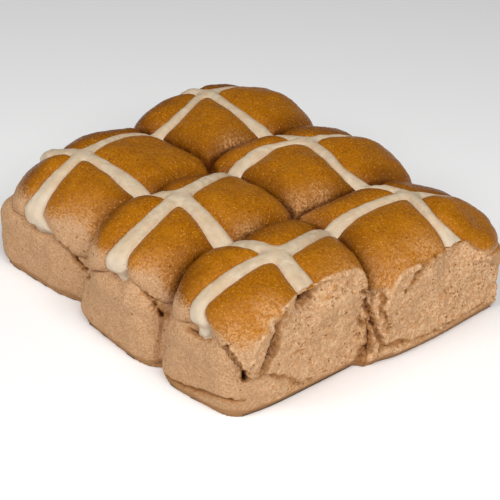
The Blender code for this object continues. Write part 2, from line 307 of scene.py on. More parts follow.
def pulled(where, middle, spread, step):
    """Places moved by step at the middle, and less and less with the distance from it."""
    return where + near_to(where, middle, spread)[:, None] * step


# the forms lie in the order core, caps, bodies, insides
for index, form in enumerate(forms):
    co = places(form) / MM
    if index > len(BUNS):
        co = co + setback(co)[:, None] * (0, 1, 0)
    if list(BUNS).index("d") in (index - 1, index - 1 - len(BUNS)):
        co = pulled(co, **CORNER)
    put_places(form, sagged(co) * MM)
print("the fold rises", max(rise for _, rise in SAG), "mm and hangs", -min(rise for _, rise in SAG), "mm")

# %% [markdown]
# ## One risen slab
# The forms overlap, as the buns did when they grew together. They are joined into one mesh, and a
# voxel Remesh melts them into a single skin with an even net of corners, which is what the later
# shaping needs. A Boolean union would keep the forms' own nets and leave slivers at the seams.

# %% Join and remesh
def only(item):
    bpy.ops.object.select_all(action="DESELECT")
    item.select_set(True)
    bpy.context.view_layer.objects.active = item


def remeshed(item, voxel):
    only(item)
    remesh = item.modifiers.new("even_net", "REMESH")
    remesh.mode = "VOXEL"
    remesh.voxel_size = voxel * MM
    bpy.ops.object.modifier_apply(modifier=remesh.name)
    print(item.name, "has", len(item.data.vertices), "corners at", voxel, "mm")


FIRST_VOXEL = 0.8
VOXEL = 0.52

for form in forms:
    form.select_set(True)
bpy.context.view_layer.objects.active = forms[0]
bpy.ops.object.join()
slab = bpy.context.object
slab.name = "slab"
remeshed(slab, FIRST_VOXEL)

# %% [markdown]
# ## The torn end
# The two end buns were pulled off the next pair of the batch. The break is a ragged wall of crumb,
# with the skin of the cap standing over it as a lip. What lies past the break is pressed back onto
# it: for each height and place across the batch, one function says how far along X the bread may
# reach. A second remesh then evens out the net again.


# %% Where the bread breaks
LEAN = {"d": 2.5, "f": 1.0}  # how much farther along X the break is at LEAN_HEIGHT than at the base
LEAN_HEIGHT = 50
FOOT = 1.5                   # how far the break rounds in at its foot
# the lip of bun f, whose crust hangs down at the +Y corner: places along Y and its height there
LIP = [(44, 45), (49, 41.5), (58, 34), (67, 24), (76, 16)]


def break_at(y, z):
    """How far along X the bread reaches at the torn end, in millimetres."""
    flat = np.column_stack([np.zeros_like(y), y, z])
    toward_f = ramp(y, -9.5, -4.5)
    lean = LEAN["d"] + (LEAN["f"] - LEAN["d"]) * toward_f
    x = TORN["d"] + (TORN["f"] - TORN["d"]) * toward_f + lean * np.clip(z / LEAN_HEIGHT, 0, 1)
    return x + ramp(z, 2, 9) * layers(flat, (1.1, 13, 3), (0.45, 5, 8)) - FOOT * ramp(z, 3.5, 0)


def above_lip(y, z):
    """How far each place is above the lip of bun f."""
    return (z - looked_up(y, LIP)) * ramp(y, 38, 50)


# over the lip the crust rolls back, faster the higher it is
co = places(slab) / MM
rolled = np.maximum(0, above_lip(co[:, 1], co[:, 2]))
reach = break_at(co[:, 1], co[:, 2]) - 0.1 * rolled - 0.008 * rolled ** 2
co[:, 0] = np.minimum(co[:, 0], reach)
co[:, 2] = np.maximum(co[:, 2], 0)
put_places(slab, co * MM)
remeshed(slab, VOXEL)

# %% [markdown]
# ## What each corner of the net knows
# The creases, the fold and the glaze all follow the forms that the slab was made of, but the
# remesh has melted those. So every corner is measured against the forms once more, with the sag
# undone: how far it is from the nearest cap, from the nearest body and from the inside. Painting
# these regions by hand would be the other way, and they would stay behind if a form moved.

# %% Measures that the later steps share
co = places(slab) / MM
ends = edge_ends(slab)

before = unsagged(co)
from_d = pulled(before, CORNER["middle"], CORNER["spread"], -np.array(CORNER["step"]))
cap_gap = np.array([form_size(from_d if name == "d" else before, **CAPS[name]) for name in BUNS])
before = before - setback(before)[:, None] * (0, 1, 0)
body_gap = np.array([form_size(from_d if name == "d" else before, **BODIES[name]) for name in BUNS])
crumb_gap = np.array([form_size(before, **form) for form in INSIDE.values()]).min(0)
between_caps = np.sort(cap_gap, axis=0)[1]
between_bodies = np.sort(body_gap, axis=0)[1]
fold_gap = np.maximum(cap_gap.min(0), body_gap.min(0))
skin_depth = -np.minimum(np.minimum(cap_gap.min(0), body_gap.min(0)), crumb_gap)
print(len(co), "corners measured, the deepest", round(float(skin_depth.max()), 1), "mm inside the forms")

# %% [markdown]
# ## Shaped one by one
# No bun is as regular as its form: the dough stands a few millimetres out or in, over patches as
# wide as a thumb. The Grab brush of sculpting would do this. A table of soft pulls does the same,
# and can be read and changed.

# %% Nudge the skin
# the middle of each patch, how far it spreads, and the step there
NUDGES = [
    ((90, 68, 50), (13, 15, 12), (-1.2, -5.0, -3.4)), ((98, 70, 33), (12, 12, 10), (1.8, 2.0, 0)),
    ((54, 64, 49), (16, 14, 16), (0, -1.4, -3.4)), ((60, 0, 47), (14, 14, 16), (0, 4.5, 0)),
    ((-14, 66, 50), (12, 12, 14), (0, 0, -1.5)), ((12, 66, 50), (9, 12, 12), (0, 0.6, 1.4)),
    ((33, 66, 46), (9, 12, 12), (-0.6, -0.8, -1.0)), ((-82, 40, 48), (12, 14, 14), (-0.5, 0, 1.4)),
    ((-52, 66, 51), (14, 12, 12), (0, 1.2, 1.8)), ((-76, -63, 43), (14, 14, 14), (2.2, 2.0, -1.8)),
    ((-84, -66, 20), (10, 10, 12), (-1.2, -0.6, 0)), ((-76, -18, 50), (14, 16, 14), (0, 0, 0.8)),
    ((97, 32, 0), (12, 26, 9), (1.8, 0, 0)), ((90, -77, 0), (22, 16, 12), (-3.0, 2.6, 0)),
    ((52, -76, 0), (12, 12, 12), (0, -1.8, 0)), ((93, 0, 0), (8, 6, 6), (-2, 0, 0)),
    ((-26, -76, 0), (9, 12, 12), (0, 4, 0))
]
for place, spread, step in NUDGES:
    co = pulled(co, place, spread, step)
co[:, 2] = np.maximum(co[:, 2], 0)
put_places(slab, co * MM)
out = normals(slab)
surface = BVHTree.FromPolygons([tuple(c) for c in co], [tuple(p.vertices) for p in slab.data.polygons])

# where the skin is crumb and not crust: at the break, and under the lip of bun f
torn_gap = break_at(co[:, 1], co[:, 2]) - co[:, 0]
crumb = ramp(torn_gap, 0.9, 0.35) * ramp(co[:, 2], 0.5, 2.5)
crumb *= ramp(above_lip(co[:, 1], co[:, 2]) + 0.8 * grain(co, 3, 9), 0.8, -0.2)
crumb = relaxed(crumb, ends, 1)
print("torn crumb:", round(100 * float(crumb.mean()), 1), "% of the skin")

# %% [markdown]
# ## Where the paste runs
# The piped lines are given as a few points each, with half their width there, as a piping bag
# would lay them. A Catmull-Rom curve through the points makes even stations, and each corner of
# the dough then learns how far it is from the nearest edge of paste.

# %% The five lines
# a point lies on the crust at its x and y, or nearest to its x, y and z; half the width comes last
LINES = {
    "across_low_end": [
        (-42.5, -70.5, 29, 1.2), (-48.5, -71.5, 31.5, 3.8), (-55.5, -71.5, 34.5, 7),
        (-54.5, -69.4, 40.5, 5.6), (-55, -61, 47, 4.3), (-57.5, -48, 3.7), (-61, -39, 3.6), (-64, -24, 3.2),
        (-65, -9, 3.4), (-63.5, 2, 3.8), (-62.3, 10.5, 3.3), (-64, 18, 2.9), (-66.6, 26, 2.9),
        (-70.5, 35, 3), (-73, 45, 3.2), (-73.5, 55, 3), (-73, 65, 3.2), (-72, 74, 42, 4)],
    "across_middle": [
        (11.5, -75, 41, 7), (11, -72.5, 45, 6), (9.8, -62.5, 51, 4.5), (6.5, -46.5, 4), (2, -32, 4),
        (-2, -15.5, 3.8), (-8, 2, 3.9), (-9.5, 10.5, 4.2), (-9, 17, 4.6), (-9.8, 23, 4.2), (-9, 30, 3.2),
        (-6.5, 37.5, 3.1), (-3, 45.5, 3.2), (-2, 56, 3), (0, 66, 3.3), (0, 75.5, 42, 4)],
    "across_torn_end": [
        (67.5, -75.5, 38.5, 5.6), (64, -73, 43.5, 5.2), (63.8, -63.7, 51, 4.2), (65, -47, 4),
        (67, -34, 4.2), (65, -18, 3.8), (60.5, -4.5, 3.9), (58.3, 3.5, 4.1), (57.6, 10, 4.2),
        (57.5, 17, 3.6), (58, 26, 3.3), (58.8, 37, 3.2), (60.5, 49, 3.3), (63, 57, 3), (66, 65, 3.2),
        (68, 74, 42, 4)],
    "along_low_row": [
        (-90, -43, 42, 5.4), (-84, -44, 46, 5.6), (-75, -43, 4.8), (-61, -39, 3.6), (-42, -37.5, 3.8),
        (-25, -37, 4.6), (-7, -36, 3.8), (2, -33, 4), (19, -35, 4), (35, -36, 4.8), (52, -35.5, 4.2),
        (67, -34, 4.2), (80, -36.6, 4.6), (91.5, -38, 47, 5)],
    "along_high_row": [
        (-93, 38, 43, 4.6), (-86, 40.5, 49, 4.6), (-80, 43, 4), (-73, 45, 3.4), (-58, 43.2, 3),
        (-46, 42.2, 3), (-38, 41.7, 3.2), (-29, 42, 3.9), (-18, 43, 3.2), (-3, 45.5, 3.2), (13, 43.5, 3.2),
        (24, 41, 3), (31.5, 41, 3.4), (36.5, 42.2, 4), (45, 46.5, 3.4), (52, 48, 3.2), (60.5, 49, 3.2),
        (70, 45.2, 3), (80, 42, 2.8), (87, 41.6, 3.2), (92, 42.4, 45, 4.2), (96.5, 43.5, 40, 6)],
}
STATION = 2.0      # distance between the even stations
REACH = 24         # the distance to a line is measured only so far from it
BLEND = 1.3        # how softly two lines run into each other where they cross


def laid(point):
    """A point of a line, on the crust: straight down onto it, unless the point has its own height."""
    if len(point) == 4:
        return surface.find_nearest(Vector(point[:3]))[0]
    return surface.ray_cast(Vector((point[0], point[1], 100)), Vector((0, 0, -1)))[0]


def curve_through(knots):
    """Even stations along a Catmull-Rom curve through rows of numbers, the first three a place."""
    knots = np.array(knots, float)
    rows = []
    for index in range(len(knots) - 1):
        p0, p1, p2, p3 = (knots[min(max(index + step, 0), len(knots) - 1)] for step in (-1, 0, 1, 2))
        steps = max(1, round(np.linalg.norm(p2[:3] - p1[:3]) / STATION))
        for t in np.arange(steps + (index == len(knots) - 2)) / steps:
            rows.append(((-t + 2 * t ** 2 - t ** 3) * p0 + (2 - 5 * t ** 2 + 3 * t ** 3) * p1
                         + (t + 4 * t ** 2 - 3 * t ** 3) * p2 + (t ** 3 - t ** 2) * p3) / 2)
    return np.array(rows)


def route_of(line):
    route = curve_through([(*laid(point), point[-1]) for point in line])
    # stations between the points come down onto the crust as well
    for station in route:
        station[:3] = surface.find_nearest(Vector(station[:3]))[0]
    route[1:-1] = (route[:-2] + 2 * route[1:-1] + route[2:]) / 4
    return route


def gap_to(where, route):
    """Distance from each place to the edge of a line whose rows are x, y, z and half width."""
    gap = np.full(len(where), 1e3)
    near = np.all((where > route[:, :3].min(0) - REACH) & (where < route[:, :3].max(0) + REACH), axis=1)
    starts, steps = route[:-1], np.diff(route, axis=0)
    length2 = (steps[:, :3] ** 2).sum(1)
    index = np.flatnonzero(near)
    for chunk in np.array_split(index, max(1, len(index) // 20000)):
        offset = where[chunk, None, :] - starts[None, :, :3]
        along = np.clip((offset * steps[:, :3]).sum(2) / length2, 0, 1)
        offset -= along[..., None] * steps[:, :3]
        half = starts[:, 3] + along * steps[:, 3]
        gap[chunk] = (np.sqrt((offset ** 2).sum(2)) - half).min(1)
    return gap


def soft_least(values, softness):
    """The least of several distances, with the corner where two are equal rounded off."""
    least = values.min(0)
    return least - softness * np.log(np.exp(-(values - least) / softness).sum(0))


ROUTES = {name: route_of(line) for name, line in LINES.items()}
paste_gap = soft_least(np.array([gap_to(co, route) for route in ROUTES.values()]), BLEND)
print("paste covers", round(100 * float((paste_gap < 0).mean()), 1), "% of the skin")

# %% [markdown]
# ## Dough that rises round the paste
# The paste doesn't stretch, so the dough beside it swells into pillows with a rounded shoulder,
# and the paste lies in the channel between them. The channel is pressed along the skin's own
# normals, with a quarter-round shoulder.

# %% Press the channels
CHANNEL = 2.6            # depth of a channel
SHOULDER = 5.0           # radius of a shoulder
SWELL = 1.6              # how far a pillow stands up in its middle
# how much deeper each is pressed, and how wide its shoulder is
CREASE = (5.2, 6.0)      # between two caps
SIDE_CREASE = (3.2, 9)   # between two bodies on an open side
FOLD = (2.6, 2.4)        # between a cap and its body
UNDERCUT = (1.3, 6)      # how far the foot of the slab draws in, and from which height down


def quarter_round(distance, radius):
    """1 at no distance, 0 at the radius, along a quarter of a circle: a rounded shoulder's depth."""
    t = np.clip(distance, 0, radius) / radius
    return 1 - np.sqrt(1 - (1 - t) ** 2)


def groove(distance, depth, shoulder):
    return depth * quarter_round(distance, shoulder)


upward = ramp(co[:, 2], 20, 30)
press = CHANNEL * np.where(paste_gap < 0, 1, quarter_round(paste_gap, SHOULDER)) * upward
press = relaxed(press, ends, 2)
swell = SWELL * ramp(paste_gap, 0, 11) * ramp(between_caps, 0, 12) * upward
crease = groove(between_caps, *CREASE) * ramp(co[:, 2], 20, 34) * ramp(paste_gap, -1, 3)
side_crease = groove(between_bodies, *SIDE_CREASE) * ramp(co[:, 2], 36, 24) * ramp(np.abs(co[:, 1]), 45, 60)
# bun f has no fold at its outer corner, because its cap hangs down over it
fold = groove(fold_gap, *FOLD) * ramp(co[:, 2], 12, 18) * (1 - crumb)
fold *= 1 - ramp(co[:, 0], 72, 84) * ramp(co[:, 1], 45, 60)
undercut = UNDERCUT[0] * ramp(co[:, 2], UNDERCUT[1], 0) ** 2
# nothing is pressed into the flat base, whose normals point down
rise = (swell - press - crease - side_crease - fold) * ramp(out[:, 2], -0.9, -0.5)
shaped = co + out * rise[:, None] - out * (1, 1, 0) * undercut[:, None]
print("pressed in by up to", round(-float(rise.min()), 1), "mm")

# %% [markdown]
# ## Uneven dough
# No bun is a clean form. Broad lumps swell the caps, and the sides sag into faint vertical folds.
# The torn crumb is rough at every scale, down to pores.

# %% Lumps, folds and pores
PORES = [(1.3, 1.5, 31, 0.22), (1.7, 2.6, 32, 0.36), (2.6, 4.2, 35, 0.5)]  # depth, size, seed and whole part
TALL = (1, 1, 0.35)          # grain read at places times this comes out taller than it is wide
STRANDS = (1, 1, 0.4)        # the same for the strands of torn crumb

height = co[:, 2]
base_crust = ramp(height + 1.3 * grain(co, 5, 11), 4.6, 2.6)
# between buns d and f the crumb tore in upright strands
parting = ramp(torn_gap, 12, 8) * ramp(np.abs(co[:, 1] + 2.5), 9, 6) * ramp(height, 37, 34)
crumb = np.maximum(crumb, parting) * (1 - base_crust)
crust = 1 - crumb

lump = layers(co, (0.7, 16, 21), (0.3, 6, 22))
streak = 0.25 * grain(co * TALL, 5, 23) * ramp(height, 34, 26)
skin = layers(co, (0.10, 1.6, 24), (0.07, 0.9, 25))
skin += 0.12 * grain(co * (1, 1, 0.6), 2.8, 26) * ramp(height, 36, 28)
fibres = 0.30 * grain(co * (1, 0.8, 1.6), 1.5, 34) + 0.35 * grain(co, 4, 33)
fibres += parting * 1.6 * (grain(co * STRANDS, 1.9, 36) - 0.2)
pores = sum(deep * np.maximum(0, grain(co, size, seed) - whole) for deep, size, seed, whole in PORES)
shift = crust * (lump + streak + skin) * ramp(height, 0.5, 6) + crumb * (fibres - pores)
shaped += out * (shift * ramp(out[:, 2], -0.9, -0.5))[:, None]

# under the lip of each torn cap the crumb stands back
under_lip = crumb * ramp(skin_depth, 0.2, 1.2) * (0.5 + 0.6 * ramp(skin_depth, 5, 1.5)) * ramp(height, 16, 26)
shaped[:, 0] -= under_lip
print("under the lip the crumb stands back by up to", round(float(under_lip.max()), 1), "mm")

# %% [markdown]
# ## Tears and wrinkles
# Where the torn end was pulled away, and where the fold was stretched, the dough opened into
# narrow crevices with ragged edges. Each is a line along the skin like the lines of paste, with
# half its width at every point, and is pressed in along the normals. Its mask paints shade into
# it: dark at the bottom and amber round about. A Boolean cut would leave clean walls and need a
# remesh.

# %% Press the tears
TEARS = {
    "left_of_d_crumb": dict(depth=2.6, softness=0.7, raggedness=0.6, course=[
        (91.5, -52, 46, 0.5), (90.4, -54.8, 42.5, 1.1), (89.9, -56.4, 37, 1.5), (89.2, -57.6, 31.5, 1.9),
        (89, -59.2, 26.5, 2.3), (88.9, -60.6, 22, 2.2)]),
    "beside_it": dict(depth=2.6, softness=0.8, raggedness=0.5, course=[
        (90.2, -54.5, 36, 0.4), (89.5, -55.6, 30, 0.8), (89, -57.6, 24.5, 0.8)]),
    "under_d_beak": dict(depth=4.5, softness=0.7, raggedness=0.8, course=[
        (82.8, -75.2, 34.6, 0.8), (84.6, -74.4, 32, 1.2), (86.6, -73, 28, 1.5), (87.5, -70.4, 24, 1.7),
        (87.2, -67.6, 19.5, 0.9)]),
    "below_d_paste": dict(depth=4.2, softness=0.9, raggedness=0.4, course=[
        (90, -41.6, 44.6, 1.0), (90.8, -38.8, 45.2, 2.0), (91, -35.9, 46.6, 1.5), (90.6, -34, 47.6, 0.7)]),
    "d_and_f_parting": dict(depth=2.4, softness=1.0, raggedness=0.9, course=[
        (91.7, -8.0, 38.5, 0.5), (88, -5, 33, 1.0), (91, -5.4, 30, 0.7), (93.2, -5.2, 26, 0.9),
        (94.2, -4.2, 21, 1.1), (94.2, -2.4, 16, 0.8), (94, 1, 10.5, 0.4)]),
    "d_and_f_low": dict(depth=2.4, softness=1.0, raggedness=0.9, course=[
        (91.5, -6.5, 24, 0.4), (93, -6, 16, 0.8), (93, -6, 12, 1.1), (91.6, -7.4, 8, 0.8),
        (90, -8.4, 3, 0.5)]),
    "beside_the_parting": dict(depth=2.0, softness=0.9, raggedness=1.0, course=[
        (95.5, 0.5, 27, 0.4), (95.6, 1.8, 22, 0.7), (95.4, 3.2, 15, 0.5)]),
    "f_lip": dict(depth=1.8, softness=0.7, raggedness=0.7, course=[
        (93.8, 12.2, 32.2, 0.5), (94.6, 16.4, 36, 0.8), (96.4, 19, 39.2, 0.8), (96.8, 23, 42, 0.5),
        (96.2, 29, 43, 0.3)]),
    "b_and_c_fold": dict(depth=2.6, softness=0.8, raggedness=0.6, course=[
        (-36, -70.5, 29, 0.2), (-31.5, -70, 27, 0.5), (-29.6, -68.4, 23.5, 0.8), (-26, -67.6, 21.2, 0.8),
        (-22, -68, 19.2, 0.6), (-14.2, -71.6, 21.6, 0.4)]),
    "c_and_d_fold": dict(depth=2.6, softness=0.8, raggedness=0.6, course=[
        (28.5, -72, 33.4, 0.2), (30.8, -70.7, 31.4, 0.5), (31.8, -69.3, 28.6, 0.7), (34.4, -68.6, 26, 0.8),
        (40, -70.8, 26.2, 0.7), (46, -73.4, 28, 0.5)]),
    "below_d_blob": dict(depth=2.6, softness=0.6, raggedness=0.4, course=[
        (60, -74.4, 32.6, 0.2), (67.2, -73.2, 32.9, 0.7), (70.5, -73.6, 33.6, 0.6),
        (72.6, -74, 34.6, 0.3)]),
    "d_corner": dict(depth=1.8, softness=1.0, raggedness=0.8, course=[
        (88.6, -62, 18.6, 0.2), (89.4, -57, 18, 0.3), (89.2, -52.3, 14.9, 0.4), (89.5, -47, 12.2, 0.4),
        (89.5, -44.6, 9, 0.7), (89.4, -40.5, 6.2, 0.6), (89.6, -35, 5.6, 0.3)]),
    "d_base_fold": dict(depth=1.8, softness=0.7, raggedness=0.4, course=[
        (46, -75.5, 3.2, 0.6), (56, -76.5, 4.8, 0.9), (65, -77, 6.6, 0.9), (75, -76.7, 9, 0.6),
        (82.8, -75.4, 10.2, 0.5), (87, -72, 9.2, 0.4), (88.6, -68.4, 9.2, 0.2)]),
    "f_low": dict(depth=1.3, softness=0.9, raggedness=0.9, course=[
        (94, 3, 8, 0.3), (94.4, 11.9, 6.8, 0.5), (95, 20, 5, 0.3), (95.3, 33, 4.4, 0.3),
        (95.5, 47.9, 4.6, 0.4), (95.7, 62, 6.2, 0.2)]),
    "e_wrinkle": dict(depth=1.0, softness=0.9, raggedness=0.7, course=[
        (1, 14.6, 53, 0.2), (4.5, 13.4, 53.6, 0.5), (8, 13.2, 54, 0.3), (12, 14.4, 54.3, 0.1)]),
}
TEAR_REACH = 6       # how far from its edge a tear still changes the skin
# the amber round a tear is painted shade
RIM = (1.9, 0.3)     # where the amber round a tear begins and is full, as distances from its edge
FRAY = (2.6, 1.0)    # the same for the crumb that shows beside the deeper tears

painted_crevice_shade = np.zeros(len(co))
for number, tear in enumerate(TEARS.values()):
    course = curve_through(tear["course"])
    for station in course:
        station[:3] = surface.find_nearest(Vector(station[:3]))[0]
    gap = gap_to(co, course)
    near = gap < TEAR_REACH
    place, gap = co[near], gap[near]
    ragged = grain(place, 2.6, 60 + number) + 0.8 * grain(place, 1.2, 90 + number)
    cut = ramp(gap + tear["raggedness"] * ragged, tear["softness"], -tear["softness"])
    shaped[near] -= out[near] * (tear["depth"] * cut * (1 + 0.3 * grain(place, 1.5, 120 + number)))[:, None]
    # painted shade: dark at the bottom, amber for a little way around
    around = 0.5 * ramp(gap + 0.6 * ragged, *RIM)
    painted_crevice_shade[near] = np.maximum(painted_crevice_shade[near], np.maximum(around, cut) * min(1, tear["depth"] / 3))
    # the deeper ones show crumb on both sides
    frayed = ramp(gap + 0.9 * ragged, *FRAY) * ramp(tear["depth"], 2.2, 3.0)
    tufts = grain(place, 1.4, 150 + number)
    shaped[near] -= out[near] * (frayed * (0.4 + 1.0 * tufts))[:, None]
    crumb[near] = np.maximum(crumb[near], frayed)
    # painted shade among the tufts
    painted_crevice_shade[near] = np.maximum(painted_crevice_shade[near], 0.7 * frayed * ramp(tufts, 0.1, 0.6))
shaped[:, 2] = np.maximum(shaped[:, 2], 0)
put_places(slab, shaped * MM)
print(len(TEARS), "tears and wrinkles")

# %% [markdown]
# ## The piped paste
# Paste is a soft ribbon that fills its channel. It is made from the same skin: the faces of the
# channel are copied, smoothed so that the ribbon bridges the creases between buns, and then given
# a rounded top and a flat underside. A swept curve would have to be fitted to the domes by hand.

# %% Net of the ribbon
PASTE = 2.0            # thickness of the ribbon in its middle
PASTE_FOOT = 24        # how low the ribbon may hang down the sides
PASTE_EDGE = 0.15      # width of the flat rim of the ribbon
PASTE_ROUND = 3.4      # how far from its edge the ribbon reaches its full thickness
PASTE_TUCK = 2.0       # how far the ribbon runs in under the shoulders
PASTE_SINK = 0.35      # how far its underside lies below the floor of the channel
EVENING = 14           # how many times the ribbon's places and normals are relaxed
SNAPPED = dict(upper=0.4, lower=1.2)  # how far before the break its top and its underside end
# where more paste ran together: the place, how far it spreads and how much thicker it is
DOLLOPS = [
    ((-84, -44, 47), 8, 3.0), ((-56, -71, 36), 6, 1.8), ((10.5, -73, 41), 6, 1.8),
    ((66, -74.5, 41), 6, 1.2), ((-85, 41, 49), 8, 1.6), ((-10, 22, 51), 6, 0.8), ((92, -40, 48), 7, 0.8)
]


def kept_net(keep):
    """The corners of the slab's faces that lie wholly in keep, and those faces numbered anew."""
    faces = np.empty(len(slab.data.polygons) * 4, np.int32)
    slab.data.polygons.foreach_get("vertices", faces)
    faces = faces.reshape(-1, 4)
    faces = faces[keep[faces].all(1)]
    used = np.unique(faces)
    renumber = np.full(len(keep), -1)
    renumber[used] = np.arange(len(used))
    return used, renumber[faces]


def closed_band(upper, lower, sheet, edges):
    """A closed mesh from two layers of corners that share one net, with a wall round its rim."""
    # an edge that only one face uses is on the rim
    _, first, uses = np.unique(np.sort(edges, axis=1), axis=0, return_index=True, return_counts=True)
    a, b = edges[np.sort(first[uses == 1])].T
    wall = np.column_stack([b, a, a + len(upper), b + len(upper)])
    faces = np.concatenate([sheet, sheet[:, ::-1] + len(upper), wall])
    mesh = bpy.data.meshes.new("piped_paste")
    mesh.from_pydata((np.concatenate([upper, lower]) * MM).tolist(), [], faces.tolist())
    return mesh


# %% Lift the ribbon out of the skin
def paste_ribbon():
    before_break = torn_gap > 1.1 + 0.5 * grain(co, 2.0, 46)
    used, sheet = kept_net((paste_gap < PASTE_TUCK) & (co[:, 2] > PASTE_FOOT) & before_break)
    edges = np.concatenate([sheet[:, (0, 1)], sheet[:, (1, 2)], sheet[:, (2, 3)], sheet[:, (3, 0)]])
    base = relaxed(co[used], edges, EVENING)
    lift = relaxed(out[used], edges, EVENING)
    lift /= np.linalg.norm(lift, axis=1)[:, None]
    # a rounded top, with fine unevenness and a few thicker places
    inward = np.clip((-paste_gap[used] - PASTE_EDGE) / PASTE_ROUND, 0, 1)
    top = PASTE * np.sqrt(1 - (1 - inward) ** 2) - CHANNEL
    top += 0.25 * lumps(base, 7, 41) + 0.16 * grain(base, 2.4, 44)
    top += 0.6 * grain(base, 4, 47) * ramp(base[:, 2], 42, 36)
    for place, spread, extra in DOLLOPS:
        top += extra * near_to(base, place, spread) * np.sqrt(inward) * (1 + 0.3 * grain(base, 3, 48))
    upper = base + lift * top[:, None]
    lower = base - lift * (CHANNEL + PASTE_SINK)
    # at the torn end the paste snapped off with the crust
    for layer, short in ((upper, SNAPPED["upper"]), (lower, SNAPPED["lower"])):
        ragged = 0.5 * grain(layer, 2.2, 46)
        layer[:, 0] = np.minimum(layer[:, 0], break_at(layer[:, 1], layer[:, 2]) - short + ragged)
    only(slab)
    bpy.ops.object.duplicate()
    ribbon = bpy.context.object
    ribbon.name = "piped_paste"
    spare = ribbon.data
    ribbon.data = closed_band(upper, lower, sheet, edges)
    bpy.data.meshes.remove(spare)
    only(ribbon)
    bpy.ops.object.shade_smooth()
    return ribbon


paste = paste_ribbon()
print("paste has", len(paste.data.polygons), "faces")

# %% [markdown]
# ## Masks of what the baking did
# The glaze browned most on top, the sides under the fold stayed pale, and the break shows raw crumb.
# Shade is painted in as well: browner and darker beside the creases, and darker on slopes turned
# from the lamps. Each is a value from 0 to 1 on every corner of the net, kept as a mesh attribute,
# so one crust material can blend all of them. Vertex paint would give the same kind of attribute,
# but it can't follow the heights, gaps and normals that the shaping has just used.

# %% Painted shade in the creases and on slopes away from the lamps, and the bake
above_sides = ramp(height, 18, 32)
# painted shade: the creases between caps are darkened
painted_crease_shade = ramp(between_caps + 0.5 * grain(co, 2.2, 55), 2.8, 0.3) * above_sides * crust
# painted shade: the glaze is made darker on slopes that face away from the lamps, most toward -X, and beside
# the creases
shade = ramp(0.3 * out[:, 1] - 0.9 * out[:, 0] + 0.3 * (1 - out[:, 2]), 0.0, 0.5)
shade += 0.9 * ramp(between_caps, 13, 1.5)
# the bake comes on with height and with how far the skin faces up
bake_and_shade_beside_creases = (height - 39) / 12 + 0.7 * (out[:, 2] - 0.45) + 0.35 * lumps(co, 9, 51)
# painted shade: beside the creases the skin is browned where it would stay pale
bake_and_shade_beside_creases += 1.2 * ramp(between_caps, 11, 1) * ramp(height, 20, 28)
bake_and_shade_beside_creases += 0.9 * ramp(co[:, 0], 70, 86) * above_sides
bake_and_shade_beside_creases -= 0.55 * ramp(torn_gap, 7, 0.5) * ramp(co[:, 0], 76, 84)
bake_and_shade_beside_creases -= 0.6 * near_to(co, (80, -73.5, 35), 9)  # a pale place under the corner of bun d
bake_and_shade_beside_creases += 0.5 * ramp(co[:, 0], 74, 86) * ramp(co[:, 1], 48, 60)
# the glaze stops at the fold, except at f's outer corner, where the cap hangs down
on_cap = cap_gap.min(0) - body_gap.min(0)
hanging = ramp(co[:, 0], 74, 86) * ramp(co[:, 1], 45, 58) * ramp(height, 18, 30)
glazed = np.maximum(ramp(on_cap, 2.0, -0.5), hanging)
bake_and_shade_beside_creases = ramp(bake_and_shade_beside_creases, -0.35, 0.75) * crust * glazed

# %% Pale glaze with a painted sheen, and the masks on the mesh
# soft, mottled places low on the pillows, where the glaze was thin and pale and a sheen is painted on: place
# and spread
PALE_GLAZE_AND_SHEEN = [
    ((36, 9, 46.5), 8.5), ((86, -70, 36), 10), ((93, -19, 44), 10), ((97, 7, 40), 12), ((37, -23.5, 47), 6),
    ((-26, -67.7, 36), 12), ((30, -71, 37), 11), ((-26, 23, 48), 7), ((90, -57, 45), 7), ((95, 26, 46), 9),
    ((37, 18, 48), 7)
]
pale_glaze_and_sheen = np.zeros(len(co))
for place, spread in PALE_GLAZE_AND_SHEEN:
    pale_glaze_and_sheen = np.maximum(pale_glaze_and_sheen, near_to(co, place, spread))
pale_glaze_and_sheen = np.clip(1.4 * pale_glaze_and_sheen * (1 + 0.5 * lumps(co, 6, 56)), 0, 1) * ramp(on_cap, 1.0, -1.0)
# painted shade in the gaps between the torn strands
painted_strand_shade = 0.6 * parting * ramp(grain(co * STRANDS, 1.9, 36), -0.05, -0.6)
MASKS = {"pale_glaze_and_sheen": pale_glaze_and_sheen, "bake_and_shade_beside_creases": bake_and_shade_beside_creases, "crumb": crumb, "painted_crease_shade": painted_crease_shade, "shade": np.clip(shade, 0, 1),
         "tear": np.maximum(painted_crevice_shade, painted_strand_shade), "base_crust": base_crust}
for name, values in MASKS.items():
    slab.data.attributes.new(name, "FLOAT", "POINT").data.foreach_set("value", values.astype(np.float32))
    print("mask", name, "covers", round(100 * float(values.mean()), 1), "%")

# %% [markdown]
# ## Materials
# A material is a tree of nodes. These helpers add a node, plug a link or a plain number into it,
# and lay one colour over another through a mask, so that a finish reads from its first coat to its
# last, as a glaze is brushed on.

